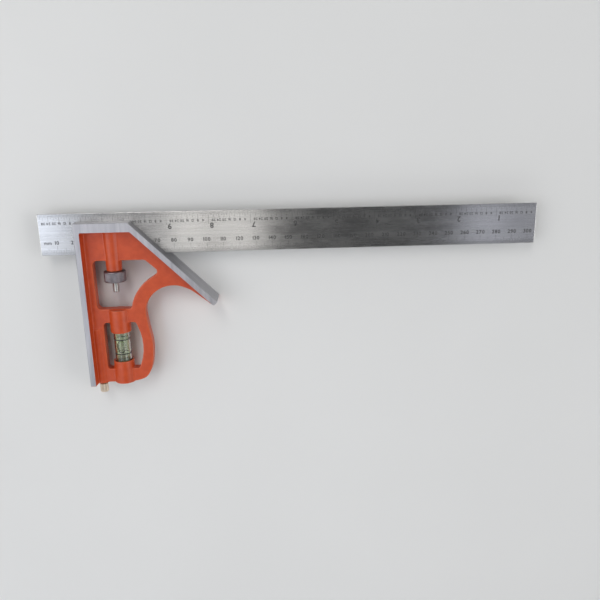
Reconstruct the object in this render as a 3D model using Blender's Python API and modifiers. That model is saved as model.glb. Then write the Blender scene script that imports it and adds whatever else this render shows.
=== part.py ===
"""Combination square with a 300 mm / 12 inch rule, modelled lying flat.

+X runs along the rule, +Y from the foot of the head to its top, +Z away from the
surface the square lies on. Every piece hangs on an empty at the corner of the
head, so the numbers below are measured from that corner: x away from the 90
degree face, y up from the top face, z from the middle plane of the rule.
"""

import math

import bmesh
import bpy
from mathutils import Matrix, Vector

MM = 0.001

# Rule
RULE_LENGTH = 304.8 * MM
RULE_WIDTH = 25.0 * MM
RULE_THICKNESS = 1.2 * MM
RULE_STICK_OUT = 22.8 * MM
RULE_ABOVE_HEAD = 5.0 * MM
GROOVE_WIDTH = 3.0 * MM
GROOVE_DEPTH = 0.55 * MM

# Head casting
HEAD_HEIGHT = 103.0 * MM
HEAD_TOP_LENGTH = 32.0 * MM
HEAD_THICKNESS = 19.0 * MM
MITRE_DROP = 50.2 * MM
FLANGE = 3.3 * MM
TOP_FLANGE = 5.5 * MM
WEB_THICKNESS = 6.6 * MM
SLOT_WIDTH = 1.6 * MM
SLOT_RELIEF = 0.6 * MM
SEAT_LENGTH = 9.0 * MM
ARCH_CENTRE = (55.0 * MM, -58.7 * MM)
ARCH_RADIUS = 18.4 * MM
ARCH_WALL = 8.6 * MM
TIP_ROUNDING = 0.8 * MM
WEB_FOOT = 0.4 * MM
UPPER_WINDOW_LEFT = 7.4 * MM
UPPER_WINDOW_TOP = -23.7 * MM
BRIDGE_TOP = -54.3 * MM
BRIDGE_BOTTOM = -63.2 * MM
LOWER_WINDOW_LEFT = 10.2 * MM
LOWER_WINDOW_RIGHT = 30.0 * MM
LOWER_WINDOW_BOTTOM = -93.8 * MM

# Rule lock
LOCK_X = 19.6 * MM
LOCK_BOSS_BOTTOM = -30.1 * MM
LOCK_BOSS_RADIUS = 5.3 * MM
LOCK_BOSS_END_RADIUS = 4.7 * MM
LOCK_BORE_RADIUS = 3.7 * MM
LOCK_BORE_TOP = -4.0 * MM
BOLT_HEAD_RADIUS = 3.4 * MM
BOLT_HEAD_TOP = -5.2 * MM
BOLT_COLLAR_TOP = -21.0 * MM
BOLT_COLLAR_BOTTOM = -22.6 * MM
BOLT_STEM_RADIUS = 2.0 * MM
BOLT_END = -44.0 * MM
BOLT_CHAMFER = 0.4 * MM
LIP_WIDTH = 2.4 * MM
LIP_HEIGHT = 1.6 * MM
NUT_RADIUS = 6.6 * MM
NUT_HEIGHT = 6.8 * MM
NUT_FLUTES = 30
NUT_FLUTE_DEPTH = 0.25 * MM
SPRING_WIRE = 0.6 * MM
SPRING_RADIUS = 2.85 * MM
SPRING_TURNS = 5
SPRING_TURN_STEPS = 14

# Spirit level
VIAL_X = 20.0 * MM
VIAL_MIDDLE = -79.0 * MM
VIAL_LENGTH = 34.0 * MM
VIAL_RADIUS = 5.1 * MM
VIAL_WALL = 1.0 * MM
VIAL_CHAMFER = 0.5 * MM
VIAL_BOSS_RADIUS = 6.4 * MM
UPPER_VIAL_BOSS = (-55.0 * MM, -69.8 * MM)
LOWER_VIAL_BOSS_TOP = -88.5 * MM
CAP_DEPTH = 4.0 * MM
CAP_FLANGE = 1.5 * MM
PLUG_RECESS = 0.8 * MM
PLUG_DISH_DEPTH = 1.5 * MM
PLUG_RIM = 1.0 * MM
BUBBLE_SIZE = (4.8 * MM, 8.2 * MM, 3.2 * MM)

# Scriber
SCRIBER_X = 5.7 * MM
SCRIBER_BOSS_RADIUS = 4.3 * MM
SCRIBER_BOSS_TOP = -67.0 * MM
SCRIBER_BORE_TOP = -58.5 * MM
NEEDLE_TIP = -60.0 * MM
NEEDLE_RADIUS = 0.9 * MM
NEEDLE_POINT = 5.0 * MM
BUSHING_RADIUS = 2.1 * MM
BUSHING_LENGTH = 8.0 * MM
KNOB_RADIUS = 2.6 * MM
KNOB_LENGTH = 6.8 * MM
KNOB_FLOOR = 1.5 * MM
KNOB_FLUTES = 16
KNOB_FLUTE_DEPTH = 0.15 * MM

# Shared
GAP = 0.3 * MM
PAST = 2.0 * MM
MERGE = 0.00001
ROUND_SIDES = 48
SMALL_SIDES = 24
CORNER_STEPS = 5
SMOOTH_ANGLE = math.radians(35.0)

RULE_BOTTOM = RULE_ABOVE_HEAD - RULE_WIDTH
RULE_MIDDLE = RULE_ABOVE_HEAD - RULE_WIDTH / 2
KNOB_TOP = -HEAD_HEIGHT - GAP
TOTAL_HEIGHT = RULE_ABOVE_HEAD - KNOB_TOP + KNOB_LENGTH
CORNER = Vector((
    RULE_STICK_OUT - RULE_LENGTH / 2,
    TOTAL_HEIGHT / 2 - RULE_ABOVE_HEAD,
    HEAD_THICKNESS / 2,
))


# ---------------------------------------------------------------- scene helpers

def clear_scene():
    for obj in list(bpy.data.objects):
        bpy.data.objects.remove(obj, do_unlink=True)


def new_collection(name, hidden=False):
    collection = bpy.data.collections.new(name)
    bpy.context.scene.collection.children.link(collection)
    collection.hide_render = hidden
    return collection


def new_material(name, color, roughness, metallic=0.0, alpha=1.0):
    material = bpy.data.materials.new(name)
    material.use_nodes = True
    shader = material.node_tree.nodes["Principled BSDF"]
    shader.inputs["Base Color"].default_value = (*color, 1.0)
    shader.inputs["Roughness"].default_value = roughness
    shader.inputs["Metallic"].default_value = metallic
    shader.inputs["Alpha"].default_value = alpha
    material.diffuse_color = (*color, alpha)
    return material


def add_object(name, mesh, collection, parent, location=(0.0, 0.0, 0.0), upright=False):
    """Links a mesh as an object; upright turns its local +Z to the head's +Y."""
    obj = bpy.data.objects.new(name, mesh)
    collection.objects.link(obj)
    obj.parent = parent
    obj.location = location
    if upright:
        obj.rotation_euler = (-math.pi / 2, 0.0, 0.0)
    return obj


def finish_part(obj, material):
    obj.data.materials.clear()
    obj.data.materials.append(material)
    obj.data.shade_smooth()
    obj.data.set_sharp_from_angle(angle=SMOOTH_ANGLE)
    return obj


def as_cutter(obj):
    obj.hide_render = True
    obj.display_type = "WIRE"
    return obj


def combine(obj, other, operation):
    modifier = obj.modifiers.new(f"{operation.lower()} {other.name}", "BOOLEAN")
    modifier.operation = operation
    modifier.solver = "EXACT"
    modifier.object = other
    return obj


# ---------------------------------------------------------------- shape helpers

def box_mesh(name, low, high):
    shape = bmesh.new()
    bmesh.ops.create_cube(shape, size=1.0)
    size = Vector(high) - Vector(low)
    middle = (Vector(high) + Vector(low)) / 2
    bmesh.ops.scale(shape, vec=size, verts=shape.verts)
    bmesh.ops.translate(shape, vec=middle, verts=shape.verts)
    mesh = bpy.data.meshes.new(name)
    shape.to_mesh(mesh)
    shape.free()
    return mesh


def cylinder_mesh(name, radius, bottom, top, end_radius=None, sides=ROUND_SIDES):
    """A cylinder or a cone along local Z, radius at its top end."""
    shape = bmesh.new()
    bmesh.ops.create_cone(
        shape, cap_ends=True, segments=sides, depth=top - bottom,
        radius1=radius if end_radius is None else end_radius, radius2=radius,
    )
    bmesh.ops.translate(shape, vec=(0.0, 0.0, (top + bottom) / 2), verts=shape.verts)
    mesh = bpy.data.meshes.new(name)
    shape.to_mesh(mesh)
    shape.free()
    return mesh


def rounded(corners):
    """Outline points for corners (x, y, radius), each radius drawn as an arc."""
    points = []
    for index, (x, y, radius) in enumerate(corners):
        here = Vector((x, y))
        if radius == 0.0:
            points.append(here)
            continue
        before = (Vector(corners[index - 1][:2]) - here).normalized()
        after = (Vector(corners[(index + 1) % len(corners)][:2]) - here).normalized()
        half_angle = before.angle(after) / 2
        centre = here + (before + after).normalized() * radius / math.sin(half_angle)
        reach = radius / math.tan(half_angle)
        start = here + before * reach - centre
        turn = start.angle_signed(here + after * reach - centre)
        for step in range(CORNER_STEPS + 1):
            turned = Matrix.Rotation(-turn * step / CORNER_STEPS, 2) @ start
            points.append(centre + turned)
    return points


def arc(centre, radius, start, end, steps):
    """Points (x, y, 0) along an arc, angles in degrees."""
    points = []
    for step in range(steps + 1):
        angle = math.radians(start + (end - start) * step / steps)
        x = centre[0] + radius * math.cos(angle)
        y = centre[1] + radius * math.sin(angle)
        points.append((x, y, 0.0))
    return points


def fluted(radius, depth, flutes):
    """A circle with shallow straight flutes, four points to a flute."""
    points = []
    for step in range(flutes * 4):
        angle = 2 * math.pi * step / (flutes * 4)
        reach = radius - depth * (1 - math.cos(flutes * angle)) / 2
        points.append(Vector((reach * math.cos(angle), reach * math.sin(angle))))
    return points


def circle(radius, sides=SMALL_SIDES):
    angles = [2 * math.pi * step / sides for step in range(sides)]
    return [Vector((radius * math.cos(a), radius * math.sin(a))) for a in angles]


def slab(name, outlines, bottom, top):
    """A flat curve filled between its outlines and extruded from bottom to top."""
    curve = bpy.data.curves.new(name, "CURVE")
    curve.dimensions = "2D"
    curve.fill_mode = "BOTH"
    curve.extrude = (top - bottom) / 2
    for outline in outlines:
        spline = curve.splines.new("POLY")
        spline.points.add(len(outline) - 1)
        for point, place in zip(spline.points, outline):
            point.co = (place.x, place.y, 0.0, 1.0)
        spline.use_cyclic_u = True
    return curve_to_mesh(curve, name, (0.0, 0.0, (top + bottom) / 2))


def curve_to_mesh(curve, name, offset=(0.0, 0.0, 0.0)):
    """The evaluated curve as one closed mesh, its caps welded on."""
    holder = bpy.data.objects.new(name, curve)
    bpy.context.scene.collection.objects.link(holder)
    graph = bpy.context.evaluated_depsgraph_get()
    mesh = bpy.data.meshes.new_from_object(holder.evaluated_get(graph))
    bpy.data.objects.remove(holder, do_unlink=True)
    shape = bmesh.new()
    shape.from_mesh(mesh)
    bmesh.ops.remove_doubles(shape, verts=shape.verts, dist=MERGE)
    bmesh.ops.translate(shape, vec=offset, verts=shape.verts)
    bmesh.ops.recalc_face_normals(shape, faces=shape.faces)
    shape.to_mesh(mesh)
    shape.free()
    mesh.name = name
    return mesh


def turned(name, profile, closed, sides, collection, parent, location):
    """A profile (radius, height) turned about the head's Y, outer side downwards."""
    mesh = bpy.data.meshes.new(name)
    count = len(profile)
    edges = [(index, index + 1) for index in range(count - 1)]
    if closed:
        edges.append((count - 1, 0))
    mesh.from_pydata([(radius, 0.0, height) for radius, height in profile], edges, [])
    obj = add_object(name, mesh, collection, parent, location, upright=True)
    screw = obj.modifiers.new("turn", "SCREW")
    screw.steps = sides
    screw.render_steps = sides
    screw.use_merge_vertices = True
    screw.merge_threshold = MERGE
    return obj


def smooth_outline(knots, steps):
    """Points of a curve that passes smoothly through the knots, ends included."""
    points = []
    last = len(knots) - 1
    for index in range(last):
        p0 = Vector(knots[max(index - 1, 0)])
        p1, p2 = Vector(knots[index]), Vector(knots[index + 1])
        p3 = Vector(knots[min(index + 2, last)])
        for step in range(steps):
            t = step / steps
            points.append(0.5 * (
                2 * p1 + (p2 - p0) * t + (2 * p0 - 5 * p1 + 4 * p2 - p3) * t ** 2
                + (3 * p1 - p0 - 3 * p2 + p3) * t ** 3
            ))
    points.append(Vector(knots[last]))
    return points


# ---------------------------------------------------------------- head casting

def flange_outline():
    """The L and mitre band that carries the three working faces."""
    tip_x = HEAD_TOP_LENGTH + MITRE_DROP
    across = FLANGE / math.sqrt(2)
    inner_x = HEAD_TOP_LENGTH - 2 * across + TOP_FLANGE
    return rounded([
        (0.0, 0.0, 0.0),
        (HEAD_TOP_LENGTH, 0.0, 0.0),
        (tip_x, -MITRE_DROP, TIP_ROUNDING),
        (tip_x - across, -MITRE_DROP - across, TIP_ROUNDING),
        (inner_x, -TOP_FLANGE, 0.0),
        (FLANGE, -TOP_FLANGE, 0.0),
        (FLANGE, -HEAD_HEIGHT, 0.0),
        (0.0, -HEAD_HEIGHT, 0.0),
    ])


def web_outline():
    """The thin plate between the faces, with the arched grip below the mitre."""
    arch = [place[:2] for place in arc(ARCH_CENTRE, ARCH_RADIUS, 58, 165, 4)]
    tip_x = HEAD_TOP_LENGTH + MITRE_DROP
    foot = -HEAD_HEIGHT + WEB_FOOT
    grip = [
        (tip_x - 4.4 * MM, -MITRE_DROP - 3.0 * MM),
        (tip_x - 11.5 * MM, -MITRE_DROP + 2.8 * MM),
        *arch,
        (37.7 * MM, -64.0 * MM),
        (39.7 * MM, -77.5 * MM),
        (38.9 * MM, -89.0 * MM),
        (36.9 * MM, -96.0 * MM),
        (33.6 * MM, -100.4 * MM),
        (28.6 * MM, -102.2 * MM),
        (25.0 * MM, foot),
    ]
    inside = FLANGE / 2
    return [
        Vector((inside, foot)),
        Vector((inside, -inside)),
        Vector((HEAD_TOP_LENGTH - inside, -inside)),
        Vector((tip_x - 3.0 * MM, -MITRE_DROP + 0.4 * MM)),
        *smooth_outline(grip, 5),
    ]


def upper_window_outline():
    """Window beside the lock: a mitre-cut corner and a side that follows the arch."""
    radius = ARCH_RADIUS + ARCH_WALL
    side = arc(ARCH_CENTRE, radius, 105, 169, 9)
    return rounded([
        (UPPER_WINDOW_LEFT, UPPER_WINDOW_TOP, 2.6 * MM),
        (39.0 * MM, UPPER_WINDOW_TOP, 2.4 * MM),
        (47.3 * MM, -31.4 * MM, 2.4 * MM),
        *side[2:-1],
        (28.4 * MM, BRIDGE_TOP, 2.2 * MM),
        (UPPER_WINDOW_LEFT, BRIDGE_TOP, 2.6 * MM),
    ])


def lower_window_outline():
    """Window around the vial, bowed on the grip side."""
    bow = arc((-0.9 * MM, -78.5 * MM), 34.4 * MM, 22, -22, 6)
    return rounded([
        (LOWER_WINDOW_LEFT, BRIDGE_BOTTOM, 1.8 * MM),
        (LOWER_WINDOW_RIGHT, BRIDGE_BOTTOM, 1.5 * MM),
        *bow,
        (LOWER_WINDOW_RIGHT, LOWER_WINDOW_BOTTOM, 1.5 * MM),
        (LOWER_WINDOW_LEFT, LOWER_WINDOW_BOTTOM, 1.8 * MM),
    ])


def make_head(parts, cutters, corner, material):
    half = HEAD_THICKNESS / 2
    web = WEB_THICKNESS / 2
    head = add_object(
        "head_casting", slab("flanges", [flange_outline()], -half, half), parts, corner
    )

    def helper(name, mesh, place=(0.0, 0.0, 0.0), upright=False):
        return as_cutter(add_object(name, mesh, cutters, corner, place, upright))

    plate = helper("web_plate", slab("web", [web_outline()], -web, web))
    for name, outline in (("upper_window", upper_window_outline()),
                          ("lower_window", lower_window_outline())):
        opening = slab(name, [outline], -half, half)
        combine(plate, helper(name + "_cutter", opening), "DIFFERENCE")
    combine(head, plate, "UNION")

    lock = (LOCK_X, 0.0, 0.0)
    vial = (VIAL_X, 0.0, 0.0)
    scriber = (SCRIBER_X, 0.0, 0.0)
    bosses = (
        ("lock_boss", lock, LOCK_BOSS_RADIUS, LOCK_BOSS_BOTTOM, -FLANGE / 2,
         LOCK_BOSS_END_RADIUS),
        ("vial_boss_upper", vial, VIAL_BOSS_RADIUS, UPPER_VIAL_BOSS[1], UPPER_VIAL_BOSS[0],
         None),
        ("vial_boss_lower", vial, VIAL_BOSS_RADIUS, -HEAD_HEIGHT, LOWER_VIAL_BOSS_TOP, None),
        ("scriber_boss", scriber, SCRIBER_BOSS_RADIUS, -HEAD_HEIGHT, SCRIBER_BOSS_TOP, None),
    )
    for name, place, radius, bottom, top, end_radius in bosses:
        mesh = cylinder_mesh(name, radius, bottom, top, end_radius)
        combine(head, helper(name, mesh, place, upright=True), "UNION")

    vial_top = VIAL_MIDDLE + VIAL_LENGTH / 2 + GAP
    bores = (
        ("lock_bore", lock, LOCK_BORE_RADIUS, LOCK_BOSS_BOTTOM - PAST, LOCK_BORE_TOP),
        ("vial_bore", vial, VIAL_RADIUS + GAP, -HEAD_HEIGHT - PAST, vial_top),
        ("bushing_bore", scriber, BUSHING_RADIUS + GAP, -HEAD_HEIGHT - PAST,
         -HEAD_HEIGHT + BUSHING_LENGTH + GAP),
        ("scriber_bore", scriber, NEEDLE_RADIUS + GAP, -HEAD_HEIGHT - PAST, SCRIBER_BORE_TOP),
    )
    for name, place, radius, bottom, top in bores:
        mesh = cylinder_mesh(name, radius, bottom, top, sides=SMALL_SIDES)
        combine(head, helper(name, mesh, place, upright=True), "DIFFERENCE")

    slot_floor = RULE_BOTTOM - GAP
    reach = HEAD_TOP_LENGTH + MITRE_DROP + PAST
    slot = box_mesh(
        "slot", (-PAST, slot_floor, -SLOT_WIDTH / 2), (reach, PAST, SLOT_WIDTH / 2)
    )
    combine(head, helper("rule_slot", slot), "DIFFERENCE")
    relief_end = HEAD_TOP_LENGTH - slot_floor - SEAT_LENGTH
    relief = box_mesh(
        "relief", (SEAT_LENGTH, slot_floor - SLOT_RELIEF, -SLOT_WIDTH / 2),
        (relief_end, slot_floor + SLOT_RELIEF, SLOT_WIDTH / 2),
    )
    combine(head, helper("seat_relief", relief), "DIFFERENCE")
    return finish_part(head, material)


# ---------------------------------------------------------------- rule and lock

def make_rule(parts, cutters, corner, material):
    """The rule, with the clamp groove along the middle of its back."""
    half = RULE_THICKNESS / 2
    place = (RULE_LENGTH / 2 - RULE_STICK_OUT, RULE_MIDDLE, 0.0)
    body = box_mesh(
        "rule", (-RULE_LENGTH / 2, -RULE_WIDTH / 2, -half),
        (RULE_LENGTH / 2, RULE_WIDTH / 2, half),
    )
    rule = add_object("rule", body, parts, corner, place)
    groove = box_mesh(
        "groove", (-RULE_LENGTH / 2 - PAST, -GROOVE_WIDTH / 2, -half - PAST),
        (RULE_LENGTH / 2 + PAST, GROOVE_WIDTH / 2, -half + GROOVE_DEPTH),
    )
    combine(rule, as_cutter(add_object("groove", groove, cutters, corner, place)), "DIFFERENCE")
    return finish_part(rule, material)


def make_bolt(parts, cutters, corner, material):
    """Hook bolt: its upper part is cut to a D behind the rule and ends in a lip."""
    profile = [
        (0.0, BOLT_HEAD_TOP),
        (BOLT_HEAD_RADIUS, BOLT_HEAD_TOP),
        (BOLT_HEAD_RADIUS, BOLT_COLLAR_BOTTOM),
        (BOLT_STEM_RADIUS, BOLT_COLLAR_BOTTOM),
        (BOLT_STEM_RADIUS, BOLT_END + BOLT_CHAMFER),
        (BOLT_STEM_RADIUS - BOLT_CHAMFER, BOLT_END),
        (0.0, BOLT_END),
    ]
    place = (LOCK_X, 0.0, 0.0)
    bolt = turned("lock_bolt", profile, False, SMALL_SIDES, parts, corner, place)
    flat = -RULE_THICKNESS / 2 - GAP
    reach = BOLT_HEAD_RADIUS + PAST
    clearance = box_mesh(
        "rule_clearance", (-reach, BOLT_COLLAR_TOP, flat), (reach, PAST, reach)
    )
    helper = as_cutter(add_object("rule_clearance", clearance, cutters, corner, place))
    combine(bolt, helper, "DIFFERENCE")
    lip_bottom = RULE_MIDDLE - GROOVE_WIDTH / 2 + GAP
    lip_front = -RULE_THICKNESS / 2 + GROOVE_DEPTH - GAP
    lip = box_mesh(
        "lip", (-LIP_WIDTH / 2, lip_bottom, flat - MM),
        (LIP_WIDTH / 2, lip_bottom + LIP_HEIGHT, lip_front),
    )
    combine(bolt, as_cutter(add_object("lip", lip, cutters, corner, place)), "UNION")
    return finish_part(bolt, material)


def nut_top():
    return LOCK_BOSS_BOTTOM - GAP


def make_nut(parts, corner, material):
    outlines = [
        fluted(NUT_RADIUS, NUT_FLUTE_DEPTH, NUT_FLUTES),
        circle(BOLT_STEM_RADIUS + GAP),
    ]
    mesh = slab("lock_nut", outlines, -NUT_HEIGHT / 2, NUT_HEIGHT / 2)
    place = (LOCK_X, nut_top() - NUT_HEIGHT / 2, 0.0)
    nut = add_object("lock_nut", mesh, parts, corner, place, upright=True)
    return finish_part(nut, material)


def make_spring(parts, corner, material):
    """Compression spring on the stem, between the nut and the bolt's collar."""
    lowest = nut_top() + GAP + SPRING_WIRE / 2
    highest = BOLT_COLLAR_BOTTOM - GAP - SPRING_WIRE / 2
    steps = SPRING_TURN_STEPS * SPRING_TURNS
    curve = bpy.data.curves.new("lock_spring", "CURVE")
    curve.dimensions = "3D"
    curve.bevel_depth = SPRING_WIRE / 2
    curve.bevel_resolution = 2
    curve.use_fill_caps = True
    spline = curve.splines.new("POLY")
    spline.points.add(steps)
    for step, point in enumerate(spline.points):
        angle = 2 * math.pi * SPRING_TURNS * step / steps
        point.co = (
            SPRING_RADIUS * math.cos(angle), SPRING_RADIUS * math.sin(angle),
            (highest - lowest) * step / steps, 1.0,
        )
    mesh = curve_to_mesh(curve, "lock_spring")
    place = (LOCK_X, lowest, 0.0)
    spring = add_object("lock_spring", mesh, parts, corner, place, upright=True)
    return finish_part(spring, material)


# ---------------------------------------------------------------- spirit level

def make_vial(parts, cutters, corner, glass, clear, liquid):
    """Tube with a closed upper end, its cap, the liquid and the plug below them."""
    top = VIAL_LENGTH / 2
    bottom = -top
    place = (VIAL_X, VIAL_MIDDLE, 0.0)
    bore = VIAL_RADIUS - VIAL_WALL
    tube = turned("vial_tube", [
        (0.0, top),
        (VIAL_RADIUS - VIAL_CHAMFER, top),
        (VIAL_RADIUS, top - VIAL_CHAMFER),
        (VIAL_RADIUS, bottom),
        (bore, bottom),
        (bore, top - 2 * VIAL_WALL),
        (0.0, top - 2 * VIAL_WALL),
    ], False, ROUND_SIDES, parts, corner, place)
    finish_part(tube, glass)

    cap_top = bottom + CAP_DEPTH
    cap = turned("vial_cap", [
        (0.0, cap_top),
        (bore - GAP, cap_top),
        (bore - GAP, bottom - GAP),
        (VIAL_RADIUS, bottom - GAP),
        (VIAL_RADIUS, bottom - GAP - CAP_FLANGE),
        (0.0, bottom - GAP - CAP_FLANGE),
    ], False, ROUND_SIDES, parts, corner, place)
    finish_part(cap, clear)

    fluid = turned("vial_liquid", [
        (0.0, top - 2 * VIAL_WALL - GAP),
        (bore - GAP, top - 2 * VIAL_WALL - GAP),
        (bore - GAP, cap_top + GAP),
        (0.0, cap_top + GAP),
    ], False, ROUND_SIDES, parts, corner, place)
    shape = bmesh.new()
    bmesh.ops.create_uvsphere(shape, u_segments=SMALL_SIDES, v_segments=12, radius=0.5)
    bmesh.ops.scale(shape, vec=BUBBLE_SIZE, verts=shape.verts)
    mesh = bpy.data.meshes.new("bubble")
    shape.to_mesh(mesh)
    shape.free()
    bubble_place = (VIAL_X, VIAL_MIDDLE, bore - GAP - BUBBLE_SIZE[2] / 4)
    bubble = as_cutter(add_object("bubble", mesh, cutters, corner, bubble_place))
    combine(fluid, bubble, "DIFFERENCE")
    finish_part(fluid, liquid)


def make_vial_plug(parts, corner, material):
    """Plug that closes the vial bore, dished below like a drive-in plug."""
    top = VIAL_MIDDLE - VIAL_LENGTH / 2 - CAP_FLANGE - 2 * GAP
    bottom = -HEAD_HEIGHT + PLUG_RECESS
    rim = VIAL_RADIUS - PLUG_RIM
    plug = turned("vial_plug", [
        (0.0, top - bottom),
        (VIAL_RADIUS, top - bottom),
        (VIAL_RADIUS, 0.0),
        (rim, 0.0),
        (rim, PLUG_DISH_DEPTH),
        (0.0, PLUG_DISH_DEPTH),
    ], False, ROUND_SIDES, parts, corner, (VIAL_X, bottom, 0.0))
    return finish_part(plug, material)


# ---------------------------------------------------------------- scriber

def make_scriber(parts, corner, steel, brass):
    place = (SCRIBER_X, -HEAD_HEIGHT, 0.0)
    tip = NEEDLE_TIP + HEAD_HEIGHT
    foot = KNOB_FLOOR - KNOB_LENGTH - GAP
    needle = turned("scriber_needle", [
        (0.0, tip),
        (NEEDLE_RADIUS, tip - NEEDLE_POINT),
        (NEEDLE_RADIUS, foot),
        (0.0, foot),
    ], False, SMALL_SIDES, parts, corner, place)
    finish_part(needle, steel)

    bushing = turned("scriber_bushing", [
        (BUSHING_RADIUS, BUSHING_LENGTH),
        (BUSHING_RADIUS, 0.0),
        (NEEDLE_RADIUS + GAP / 3, 0.0),
        (NEEDLE_RADIUS + GAP / 3, BUSHING_LENGTH),
    ], True, SMALL_SIDES, parts, corner, place)
    finish_part(bushing, brass)


def make_knob(parts, cutters, corner, material):
    """Fluted knob, bored blind for the needle."""
    outline = fluted(KNOB_RADIUS, KNOB_FLUTE_DEPTH, KNOB_FLUTES)
    mesh = slab("scriber_knob", [outline], -KNOB_LENGTH, 0.0)
    place = (SCRIBER_X, KNOB_TOP, 0.0)
    knob = add_object("scriber_knob", mesh, parts, corner, place, upright=True)
    bore = cylinder_mesh(
        "knob_bore", NEEDLE_RADIUS + GAP, KNOB_FLOOR - KNOB_LENGTH - GAP, PAST,
        sides=SMALL_SIDES,
    )
    cutter = as_cutter(add_object("knob_bore", bore, cutters, corner, place, upright=True))
    combine(knob, cutter, "DIFFERENCE")
    return finish_part(knob, material)


# ---------------------------------------------------------------- assembly

def main():
    clear_scene()
    parts = new_collection("combination_square")
    cutters = new_collection("cutters", hidden=True)
    corner = bpy.data.objects.new("square_corner", None)
    parts.objects.link(corner)
    corner.location = CORNER

    enamel = new_material("orange_enamel", (0.56, 0.10, 0.038), 0.42)
    stainless = new_material("satin_stainless", (0.62, 0.61, 0.59), 0.34, 1.0)
    zinc = new_material("zinc_plate", (0.50, 0.50, 0.50), 0.38, 1.0)
    spring_steel = new_material("spring_steel", (0.42, 0.43, 0.45), 0.30, 1.0)
    knurled = new_material("knurled_nickel", (0.45, 0.44, 0.44), 0.36, 1.0)
    glass = new_material("clear_acrylic", (0.92, 0.95, 0.93), 0.08, 0.0, 0.35)
    clear = new_material("cap_acrylic", (0.85, 0.88, 0.86), 0.20, 0.0, 0.60)
    spirit = new_material("level_spirit", (0.30, 0.62, 0.20), 0.05, 0.0, 0.60)
    putty = new_material("plug_grey", (0.30, 0.29, 0.27), 0.70)
    hardened = new_material("needle_steel", (0.46, 0.46, 0.47), 0.28, 1.0)
    brass = new_material("brass", (0.62, 0.52, 0.32), 0.34, 1.0)
    knob_brass = new_material("dull_brass", (0.55, 0.49, 0.38), 0.42, 1.0)

    make_head(parts, cutters, corner, enamel)
    make_rule(parts, cutters, corner, stainless)
    make_bolt(parts, cutters, corner, zinc)
    make_nut(parts, corner, knurled)
    make_spring(parts, corner, spring_steel)
    make_vial(parts, cutters, corner, glass, clear, spirit)
    make_vial_plug(parts, corner, putty)
    make_scriber(parts, corner, hardened, brass)
    make_knob(parts, cutters, corner, knob_brass)


main()
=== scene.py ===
import math

import bmesh
import bpy
import numpy as np
from mathutils import Matrix, Vector


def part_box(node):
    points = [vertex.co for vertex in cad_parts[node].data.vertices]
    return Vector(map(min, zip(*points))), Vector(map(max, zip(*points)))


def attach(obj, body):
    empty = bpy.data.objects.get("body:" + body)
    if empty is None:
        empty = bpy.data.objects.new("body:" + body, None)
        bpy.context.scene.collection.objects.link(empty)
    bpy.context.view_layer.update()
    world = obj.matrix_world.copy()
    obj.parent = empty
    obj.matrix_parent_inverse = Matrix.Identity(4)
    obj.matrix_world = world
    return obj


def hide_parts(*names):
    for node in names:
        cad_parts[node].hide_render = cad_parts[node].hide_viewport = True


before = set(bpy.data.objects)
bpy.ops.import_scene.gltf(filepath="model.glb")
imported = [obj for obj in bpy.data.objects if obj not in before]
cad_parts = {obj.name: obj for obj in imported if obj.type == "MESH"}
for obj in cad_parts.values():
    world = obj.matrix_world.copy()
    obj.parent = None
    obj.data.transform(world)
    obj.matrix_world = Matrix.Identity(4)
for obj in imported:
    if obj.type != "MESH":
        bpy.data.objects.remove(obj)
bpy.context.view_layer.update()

# GAP is what touching pieces keep between them, OVERSHOOT how far a cutter runs on
MM = 0.001
GAP = 0.3 * MM
OVERSHOOT = 2.0 * MM

# Places taken from the frame
HEAD_LOW, HEAD_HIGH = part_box("head_casting")
RULE_LOW, RULE_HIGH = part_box("rule")
BOLT_LOW, BOLT_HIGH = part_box("lock_bolt")
NUT_LOW, NUT_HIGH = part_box("lock_nut")
SPRING_LOW, SPRING_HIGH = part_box("lock_spring")
TUBE_LOW, TUBE_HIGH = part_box("vial_tube")
CAP_LOW, CAP_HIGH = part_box("vial_cap")
LIQUID_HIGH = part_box("vial_liquid")[1]
PLUG_LOW, PLUG_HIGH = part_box("vial_plug")
NEEDLE_LOW, NEEDLE_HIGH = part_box("scriber_needle")
KNOB_LOW, KNOB_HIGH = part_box("scriber_knob")
BUSHING_LOW, BUSHING_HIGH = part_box("scriber_bushing")

MID_Z = (HEAD_LOW.z + HEAD_HIGH.z) / 2
CORNER = Vector((HEAD_LOW.x, HEAD_HIGH.y, MID_Z))
HEAD_HEIGHT = HEAD_HIGH.y - HEAD_LOW.y
HALF_THICKNESS = (HEAD_HIGH.z - HEAD_LOW.z) / 2
LOCK_X = (NUT_LOW.x + NUT_HIGH.x) / 2
VIAL_X = (TUBE_LOW.x + TUBE_HIGH.x) / 2
SCRIBER_X = (KNOB_LOW.x + KNOB_HIGH.x) / 2
AXES = (LOCK_X, VIAL_X, SCRIBER_X)
LOCK_AXIS, VIAL_AXIS, SCRIBER_AXIS = (Vector((x, 0.0, MID_Z)) for x in AXES)
LOCK_AT, VIAL_AT, SCRIBER_AT = (x - CORNER.x for x in AXES)

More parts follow.
